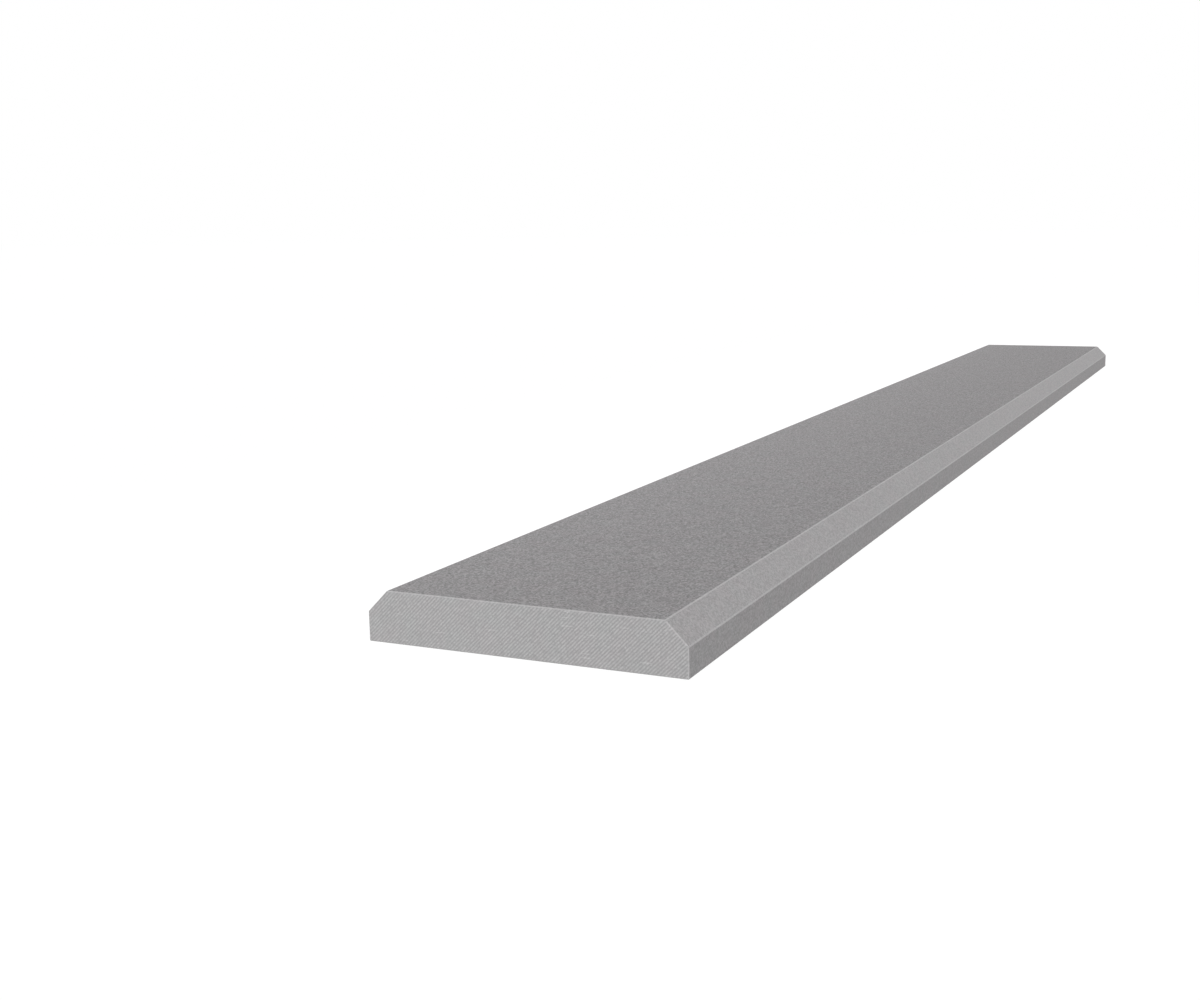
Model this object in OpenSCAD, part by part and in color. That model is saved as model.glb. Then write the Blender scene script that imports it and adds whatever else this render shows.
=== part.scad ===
// Engineered stone threshold with a steep bevel along both upper long edges.
// One solid bar, sawn from slab, its bevels ground on and every edge lightly eased.
// X runs along the bar, Y across it and Z up. The origin is the middle of the underside.

/* [Bar] */
// Length from end to end
bar_length = 914.4; // [300:0.1:1850]
// Width from side wall to side wall
bar_width = 101.6; // [50:0.1:155]
// Thickness from the underside to the top face
bar_thickness = 15.875; // [12:0.005:32]

/* [Bevels] */
// How far each bevel reaches in across the top face
bevel_run = 6.8; // [2:0.1:20]
// How far each bevel comes down the side wall
bevel_drop = 6.8; // [2:0.1:10]

/* [Arrises] */
// Width taken off each of the two faces that meet at an edge
arris = 0.3; // [0.1:0.05:0.8]

/* [Hidden] */

// Grey of the stone's top face
stone_grey = [0.57, 0.565, 0.57];

half_width = bar_width / 2;
wall_height = bar_thickness - bevel_drop;

// The section's sharp corners as [y, z], counter-clockwise from the underside
section_corners = [
    [-half_width, 0],
    [half_width, 0],
    [half_width, wall_height],
    [half_width - bevel_run, bar_thickness],
    [bevel_run - half_width, bar_thickness],
    [-half_width, wall_height]
];

// Each corner gives way to two points, one arris width along both of its edges
eased_section = [
    for (i = [0 : len(section_corners) - 1])
        let (
            corner = section_corners[i],
            before = neighbour(section_corners, i, -1),
            after = neighbour(section_corners, i, 1)
        )
        each [step_towards(corner, before, arris), step_towards(corner, after, arris)]
];

// An end cutter this long passes every edge of the section
cutter_size = 2 * (bar_width + bar_thickness);

// The point so many places round a closed outline from point i
function neighbour(points, i, places) = points[(i + places + len(points)) % len(points)];

// The point at a distance from one point towards another
function step_towards(from, to, distance) = from + distance * (to - from) / norm(to - from);

// Block whose 45 degree face eases one edge of the end at +X, from section point a to b
module end_edge_cutter(a, b) {
    middle = (a + b) / 2;
    along = b - a;
    outward = atan2(-along[0], along[1]);
    translate([bar_length / 2, middle[0], middle[1]])
        rotate([outward, 0, 0])
            rotate([0, 0, 45])
                translate([-arris / sqrt(2), -cutter_size / 2, -cutter_size / 2])
                    cube(cutter_size);
}

// All the edges round the end at +X
module end_arrises() {
    for (i = [0 : len(eased_section) - 1])
        end_edge_cutter(eased_section[i], neighbour(eased_section, i, 1));
}

module threshold() {
    color(stone_grey)
        difference() {
            rotate([90, 0, 90])
                linear_extrude(height = bar_length, center = true)
                    polygon(eased_section);
            for (end = [0, 1])
                mirror([end, 0, 0])
                    end_arrises();
        }
}

threshold();
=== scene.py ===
import math
import random

import bmesh
import bpy
from mathutils import Euler, Matrix, Vector


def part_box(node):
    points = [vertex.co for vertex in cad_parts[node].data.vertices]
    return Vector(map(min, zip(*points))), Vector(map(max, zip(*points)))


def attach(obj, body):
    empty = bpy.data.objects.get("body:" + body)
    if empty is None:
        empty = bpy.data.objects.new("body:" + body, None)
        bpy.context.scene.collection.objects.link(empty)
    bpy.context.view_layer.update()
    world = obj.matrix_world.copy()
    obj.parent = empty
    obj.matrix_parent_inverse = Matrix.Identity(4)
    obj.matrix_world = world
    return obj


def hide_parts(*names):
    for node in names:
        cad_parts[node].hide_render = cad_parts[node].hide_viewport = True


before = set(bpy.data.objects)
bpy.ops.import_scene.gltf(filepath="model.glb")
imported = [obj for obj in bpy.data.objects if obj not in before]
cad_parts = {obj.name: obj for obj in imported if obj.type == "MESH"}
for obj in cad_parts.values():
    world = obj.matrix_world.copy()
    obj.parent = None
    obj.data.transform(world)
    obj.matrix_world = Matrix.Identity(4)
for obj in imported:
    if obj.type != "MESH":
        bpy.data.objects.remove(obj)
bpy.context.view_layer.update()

# Stone bar
# One length of engineered stone, crushed quartz set in grey resin, sawn from a slab. Its top is honed,
# both upper long edges are bevelled, all edges are eased by hand, and the ends keep the saw's fine marks.
MM = 0.001
bar_low, bar_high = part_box("threshold")
bar_size = bar_high - bar_low
bar_middle = (bar_low + bar_high) / 2
half_length = bar_size.x / 2
bevel_width = 6.8 * MM
arris_width = 0.3 * MM
arris_facets = 3

# The grain: a tone for each crushed crystal, a soft drift of tone that lies aslant along the bar, and
# a faint change between warm grey and cool.
crystal_size = 0.5 * MM
crystal_share = 0.66
drift_size = 1.2 * MM
drift_slant = math.radians(18)
drift_stretch = (3.6, 1, 1)
drift_share = 0.35
tint_size = 7 * MM
tint_edges = (0.3, 0.7)
warm_shift = (1.008, 0.997, 1.000)
cool_shift = (0.992, 1.003, 1.000)
stone_gloss = 0.1
roughness_spread = 0.2
relief_strength = 0.3

# The saw's marks: painted light on even ridges and painted shade in the grooves between, fading in patches
# and breaking from crystal to crystal, and a few pale wisps.
saw_pitch = 0.815 * MM
saw_depths = (0.03 * MM, 0.07 * MM)
saw_across = Vector((0, 1, 1)).normalized()
patch_size = 9 * MM
patch_edges = (0.2, 0.5)
patch_strengths = (0.66, 0.90)
break_size = 0.5 * MM
break_strengths = (0.55, 1.45)
wisp_size = 0.6 * MM
wisp_stretch = (1, 10, 1)
wisp_edges = (0.74, 0.80)
wisp_lift = 0.18

# The stone's grey in each finish: paler where it was ground or sawn than where it was honed or rubbed,
# partly for the finish and partly as painted light on the faces that the lamps light more. The eased edges
# are palest: a painted highlight along each edge, partly the paler easing.
honed_grey = (0.271, 0.263, 0.267)
ground_and_lit_grey = (0.309, 0.302, 0.305)
rubbed_and_lit_grey = (0.275, 0.268, 0.271)
sawn_and_lit_grey = (0.313, 0.309, 0.311)
upper_arris_highlight_grey = (0.408, 0.400, 0.404)
lower_arris_highlight_grey = (0.368, 0.361, 0.365)
end_arris_highlight_grey = (0.350, 0.344, 0.347)


class Shade:
    """One output of a shader node. Sums on it add Math nodes, and add() puts in any other node."""

    def __init__(self, tree, socket=None):
        self.tree = tree
        self.socket = socket

    def add(self, kind, settings, inputs, output=0):
        node = self.tree.nodes.new(kind)
        for name, value in settings.items():
            setattr(node, name, value)
        for name, value in inputs.items():
            if isinstance(value, Shade):
                self.tree.links.new(value.socket, node.inputs[name])
            else:
                node.inputs[name].default_value = value
        return Shade(self.tree, node.outputs[output] if node.outputs else None)

    def maths(self, operation, *values):
        return self.add("ShaderNodeMath", {"operation": operation}, dict(enumerate(values)))

    def __add__(self, other):
        return self.maths("ADD", self, other)

    __radd__ = __add__

    def __sub__(self, other):
        return self.maths("SUBTRACT", self, other)

    def __rsub__(self, other):
        return self.maths("SUBTRACT", other, self)

    def __mul__(self, other):
        return self.maths("MULTIPLY", self, other)

    __rmul__ = __mul__


def crystals(place, size):
    """A random tone from 0 to 1 for each crushed crystal of about this size."""
    cells = place.add("ShaderNodeTexVoronoi", {}, {"Vector": place, "Scale": 1 / size}, "Color")
    return cells.add("ShaderNodeSeparateColor", {}, {"Color": cells}, "Red")


def clouds(place, size, detail=2.0):
    """A soft tone around 0.5 that drifts over about this size."""
    inputs = {"Vector": place, "Scale": 1 / size, "Detail": detail}
    return place.add("ShaderNodeTexNoise", {}, inputs, "Fac")


def above(tone, edges):
    """0 where a tone is under the first edge, 1 where it is over the second."""
    inputs = {"Value": tone, "From Min": edges[0], "From Max": edges[1]}
    return tone.add("ShaderNodeMapRange", {"interpolation_type": "SMOOTHSTEP"}, inputs)


def between(limits, share):
    """The first limit where a share is 0, and the second where it is 1."""
    return limits[0] + (limits[1] - limits[0]) * share


def saw_ridge_shade(place):
    """The saw's slanting ridges in tone: painted light on each ridge and painted shade in the groove
    between two.
    """
    lean = place.add("ShaderNodeVectorMath", {"operation": "DOT_PRODUCT"},
                     {0: place, 1: saw_across}, "Value")
    ridges = lean.maths("COSINE", lean * (2 * math.pi / saw_pitch))
    patches = above(clouds(place, patch_size), patch_edges)
    breaks = crystals(place, break_size)
    return ridges * between(patch_strengths, patches) * between(break_strengths, breaks)


def saw_wisps(place):
    """1 on a few short pale scratches that lie across the bar, 0 elsewhere."""
    stretched = place.add("ShaderNodeVectorMath", {"operation": "DIVIDE"}, {0: place, 1: wisp_stretch})
    return above(clouds(stretched, wisp_size, detail=0.0), wisp_edges)


def tinted(grey, shift):
    """A grey with a faint cast, as a shader colour."""
    return (*(level * part for level, part in zip(grey, shift)), 1)


def stone_finish(name, grey, grain, roughness, relief, saw_shade_strength=0.0):
    """The stone in one finish: its grey, and the strength of its grain, its relief and the painted light
    and shade on its saw marks.
    """
    finish = bpy.data.materials.new(name)
    finish.use_nodes = True
    finish.node_tree.nodes.clear()
    start = Shade(finish.node_tree)
    place = start.add("ShaderNodeTexCoord", {}, {}, "Object")

    bed = place.add("ShaderNodeMapping", {"vector_type": "TEXTURE"},
                    {"Vector": place, "Rotation": (0, 0, drift_slant), "Scale": drift_stretch})
    crystal = crystals(place, crystal_size) - 0.5
    drift = clouds(bed, drift_size) - 0.5
    tone = 1 + grain * (crystal * crystal_share + drift * drift_share)
    # Painted light on the saw's ridges and painted shade in its grooves; the wisps are pale scratches.
    if saw_shade_strength:
        tone = tone + saw_ridge_shade(place) * saw_shade_strength + saw_wisps(place) * wisp_lift

    tint = above(clouds(place, tint_size), tint_edges)
    # On a Mix node the two colours are inputs 6 and 7, and the colour that comes out is output 2.
    colour = tint.add("ShaderNodeMix", {"data_type": "RGBA"},
                      {0: tint, 6: tinted(grey, warm_shift), 7: tinted(grey, cool_shift)}, 2)
    colour = colour.add("ShaderNodeVectorMath", {"operation": "SCALE"}, {0: colour, "Scale": tone})

    bump = crystal.add("ShaderNodeBump", {},
                       {"Strength": relief_strength, "Distance": relief, "Height": crystal}, "Normal")
    stone = colour.add("ShaderNodeBsdfPrincipled", {}, {
        "Base Color": colour,
        "Roughness": roughness + crystal * roughness_spread,
        "Specular IOR Level": stone_gloss,
        "Normal": bump,
    })
    stone.add("ShaderNodeOutputMaterial", {}, {"Surface": stone})
    return finish


# The ground, rubbed and sawn greys carry painted light as well as the colour of their finish.
honed = stone_finish("honed_stone", honed_grey, grain=1.0, roughness=0.82, relief=0.02 * MM)
ground = stone_finish("ground_stone", ground_and_lit_grey, grain=0.45, roughness=0.82, relief=0.03 * MM)
rubbed = stone_finish("rubbed_stone", rubbed_and_lit_grey, grain=0.5, roughness=0.82, relief=0.03 * MM)
# The sawn ends carry the saw's painted ridge light and groove shade.
sawn = stone_finish("sawn_stone", sawn_and_lit_grey, grain=0.3, roughness=0.85, relief=0.04 * MM, saw_shade_strength=0.14)
# The eased edges' pale greys are a painted highlight along each edge, brightest on the upper edges, partly
# the paler easing.
upper_arris = stone_finish("upper_arris", upper_arris_highlight_grey, grain=0.3, roughness=0.8, relief=0.03 * MM)
lower_arris = stone_finish("lower_arris", lower_arris_highlight_grey, grain=0.3, roughness=0.8, relief=0.03 * MM)
end_arris = stone_finish("end_arris", end_arris_highlight_grey, grain=0.3, roughness=0.8, relief=0.03 * MM)

bpy.ops.object.select_all(action="DESELECT")
bpy.ops.mesh.primitive_cube_add(size=1, location=bar_middle, scale=bar_size, calc_uvs=False)
bar = bpy.context.object
bar.name = "threshold_stone"
bpy.ops.object.transform_apply(location=True, rotation=True, scale=True)
finishes = [honed, ground, rubbed, sawn, upper_arris, lower_arris, end_arris]
for finish in finishes:
    bar.data.materials.append(finish)


def select_edges(wanted):
    """Selects only the edges that pass a test."""
    bpy.ops.mesh.select_mode(type="EDGE")
    bpy.ops.mesh.select_all(action="DESELECT")
    shape = bmesh.from_edit_mesh(bar.data)
    for edge in shape.edges:
        edge.select_set(wanted(edge))
    bmesh.update_edit_mesh(bar.data)


def select_faces(wanted):
    """Selects only the faces that pass a test."""
    bpy.ops.mesh.select_mode(type="FACE")
    bpy.ops.mesh.select_all(action="DESELECT")
    shape = bmesh.from_edit_mesh(bar.data)
    for face in shape.faces:
        face.select_set(wanted(face))
    bmesh.update_edit_mesh(bar.data)


def lay_finish(finish):
    """Gives the selected faces a finish."""
    bar.active_material_index = finishes.index(finish)
    bpy.ops.object.material_slot_assign()


def is_upper_long(edge):
    """True for the two long edges at the top."""
    first, second = edge.verts
    return min(first.co.z, second.co.z) > bar_middle.z and abs(first.co.x - second.co.x) > half_length


# A face looks straight along an axis when its normal reaches at least this far along it.
straight = 0.99

bpy.ops.object.mode_set(mode="EDIT")
select_edges(is_upper_long)
bpy.ops.mesh.bevel(offset=bevel_width, segments=1, affect="EDGES")
select_faces(lambda face: 1 - straight < face.normal.z < straight)
lay_finish(ground)
select_faces(lambda face: abs(face.normal.y) > straight or face.normal.z < -straight)
lay_finish(rubbed)
select_faces(lambda face: abs(face.normal.x) > straight)
lay_finish(sawn)
bpy.ops.mesh.select_all(action="SELECT")
arris_slot = finishes.index(upper_arris)
bpy.ops.mesh.bevel(offset=arris_width, segments=arris_facets, affect="EDGES", material=arris_slot)


def is_lower_arris(face):
    """True for the eased strips along the foot of the bevels and the underside."""
    is_low = face.calc_center_median().z < bar_high.z - bevel_width / 2
    return is_low and face.material_index == arris_slot


# The strips along the foot get a dimmer painted highlight.
select_faces(is_lower_arris)
lay_finish(lower_arris)
# The eased rims of the ends get the dimmest painted highlight.
select_faces(lambda face: abs(face.calc_center_median().x) > half_length - arris_width)
bpy.ops.mesh.hide(unselected=True)
select_faces(lambda face: abs(face.normal.x) < straight)
lay_finish(end_arris)

# The saw's grooves: lines are cut across both ends at once, half a pitch apart, and every other line is
# then pressed in a little, by its own depth.
saw_seed = 7
saw_random = random.Random(saw_seed)
saw_step = saw_pitch / 2
saw_reach = saw_across.y * bar_size.y / 2 + saw_across.z * bar_size.z
line_count = math.ceil(saw_reach / saw_step)
cut_tolerance = 1e-7
line_tolerance = 0.01
for line in range(-line_count, line_count + 1):
    bpy.ops.mesh.select_all(action="SELECT")
    cut_place = saw_across * (line * saw_step)
    bpy.ops.mesh.bisect(plane_co=cut_place, plane_no=saw_across, threshold=cut_tolerance)


def line_of(vert):
    """Which saw line a point lies on, counted from the middle of the underside."""
    return vert.co.dot(saw_across) / saw_step


for line in range(-line_count, line_count + 1):
    if line % 2:
        select_edges(lambda edge: all(abs(line_of(vert) - line) < line_tolerance for vert in edge.verts))
        depth = saw_random.uniform(*saw_depths)
        bpy.ops.transform.resize(value=(1 - depth / half_length, 1, 1), center_override=bar_middle)
bpy.ops.mesh.reveal(select=False)

# The flat map that the finish is laid out on for other uses of the mesh. The long faces are cut at the
# bar's middle, so that the grain is as fine along them as across. On the map each half is a set of
# bands, in their order around the bar, and above them lie the two ends, larger for the saw's marks.
map_side = 1024
map_gap = 6
band_length = map_side - 2 * map_gap
band_scale = 2.5 / MM
underside_scale = 1.4 / MM
end_scale = 4.9 / MM

bpy.ops.mesh.select_all(action="SELECT")
bpy.ops.mesh.bisect(plane_co=bar_middle, plane_no=(1, 0, 0))
bpy.ops.mesh.select_all(action="SELECT")
bpy.ops.mesh.normals_make_consistent(inside=False)
bpy.ops.object.mode_set(mode="OBJECT")


def is_end(face):
    """True for the faces of both ends and their eased rims."""
    return abs(face.center.x) > half_length - arris_width


def turn_of(face):
    """Which way a long face looks, as an angle from straight up."""
    return math.atan2(face.normal.y, face.normal.z)


flat_map = bar.data.uv_layers.new(name="OFBake")
corners = [bar.data.vertices[corner.vertex_index].co for corner in bar.data.loops]
map_row = map_gap
for half_start in (-half_length, 0):
    half = [face for face in bar.data.polygons if 0 < face.center.x - half_start < half_length]
    for face in sorted((face for face in half if not is_end(face)), key=turn_of):
        across = face.normal.cross((1, 0, 0))
        scale = underside_scale if face.normal.z < -straight else band_scale
        rows = [corners[corner].dot(across) * scale for corner in face.loop_indices]
        for corner, row in zip(face.loop_indices, rows):
            column = map_gap + (corners[corner].x - half_start) / half_length * band_length
            flat_map.uv[corner].vector = Vector((column, map_row + row - min(rows))) / map_side
        map_row += max(rows) - min(rows)
    map_row += map_gap
for side in (-1, 1):
    end_middle = map_side * (2 + side) / 4
    for face in bar.data.polygons:
        if is_end(face) and face.center.x * side > 0:
            for corner in face.loop_indices:
                column = end_middle + side * corners[corner].y * end_scale
                row = map_row + (corners[corner].z - bar_low.z) * end_scale
                flat_map.uv[corner].vector = Vector((column, row)) / map_side

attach(bar, "root")
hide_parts("threshold")

# Studio floor
# A plain pale floor under the bar. To the camera it is white and holds only the bar's faint
# shadow; to the light that bounces off it, it is pale grey.
floor_span = 30.0
floor_grey = 0.45
floor_white = 1.06
shadow_share = 0.3

bpy.ops.mesh.primitive_plane_add(size=floor_span, location=(0, 0, bar_low.z))
floor = bpy.context.object
floor.name = "studio_floor"


def seen(start):
    """1 for the rays that show the background: straight, mirrored or through glass."""
    rays = ["Is Camera Ray", "Is Glossy Ray", "Is Transmission Ray"]
    return sum(start.add("ShaderNodeLightPath", {}, {}, ray) for ray in rays)


pale = bpy.data.materials.new("pale_floor")
pale.use_nodes = True
pale.node_tree.nodes.clear()
pale.cycles.emission_sampling = "NONE"
start = Shade(pale.node_tree)
bounce = start.add("ShaderNodeBsdfDiffuse", {}, {"Color": (floor_grey, floor_grey, floor_grey, 1)})
shadowed = start.add("ShaderNodeBsdfDiffuse", {}, {"Color": (shadow_share, shadow_share, shadow_share, 1)})
glow = start.add("ShaderNodeEmission", {}, {"Strength": floor_white - shadow_share})
white = start.add("ShaderNodeAddShader", {}, {0: shadowed, 1: glow})
surface = start.add("ShaderNodeMixShader", {}, {0: seen(start), 1: bounce, 2: white})
start.add("ShaderNodeOutputMaterial", {}, {"Surface": surface})
floor.data.materials.append(pale)

# Studio light
# A wide soft key far off at the near right, a dimmer one at the far right, a long strip lamp close
# along the left side, and a dim even room that looks white to the camera.
room_level = 0.22
strip_place = Vector((0.12, 0.25, 0.12))
strip_size = (1.6, 0.15)
strip_power = 1.0


def soft_lamp(name, towards, strength, spread):
    """A soft lamp far off in one direction, as wide as an angle in degrees."""
    turn = Vector(towards).to_track_quat("Z", "Y").to_euler()
    bpy.ops.object.light_add(type="SUN", rotation=turn)
    lamp = bpy.context.object
    lamp.name = name
    lamp.data.energy = strength
    lamp.data.angle = math.radians(spread)


soft_lamp("key", towards=(-0.821, -0.352, 0.450), strength=3.5, spread=30)
soft_lamp("side", towards=(0.60, -0.75, 0.28), strength=1.0, spread=40)

strip_towards = Vector((0, strip_place.y, strip_place.z))
strip_turn = strip_towards.to_track_quat("Z", "Y").to_euler()
bpy.ops.object.light_add(type="AREA", location=strip_place, rotation=strip_turn)
strip = bpy.context.object
strip.name = "strip"
strip.data.shape = "RECTANGLE"
strip.data.size, strip.data.size_y = strip_size
strip.data.energy = strip_power

room = bpy.data.worlds.new("studio_room")
room.use_nodes = True
room.node_tree.nodes.clear()
start = Shade(room.node_tree)
level = between((room_level, 1), seen(start))
air = start.add("ShaderNodeBackground", {}, {"Color": (1, 1, 1, 1), "Strength": level})
start.add("ShaderNodeOutputWorld", {}, {"Surface": air})
bpy.context.scene.world = room

# Camera
# It stands low beyond the near end, to the right of the bar, and looks along its length. Its focal
# length is given in pixels of a picture of the stated width.
image_width = 1200
focal_length_px = 1464.4
sensor_width = 36.0
camera_place = Vector((bar_low.x - 348.1 * MM, -191.5 * MM, 118.9 * MM))
camera_yaw = math.radians(25.50)
camera_pitch = math.radians(10.53)
camera_roll = math.radians(-1.03)
nearest_view = 10 * MM

level_view = Euler((math.pi / 2 - camera_pitch, 0, camera_yaw - math.pi / 2)).to_matrix()
camera_turn = level_view @ Matrix.Rotation(camera_roll, 3, "Z")
bpy.ops.object.camera_add(location=camera_place, rotation=camera_turn.to_euler())
camera = bpy.context.object
camera.data.sensor_width = sensor_width
camera.data.lens = sensor_width * focal_length_px / image_width
camera.data.clip_start = nearest_view
bpy.context.scene.camera = camera
bpy.context.scene.view_settings.view_transform = "Standard"
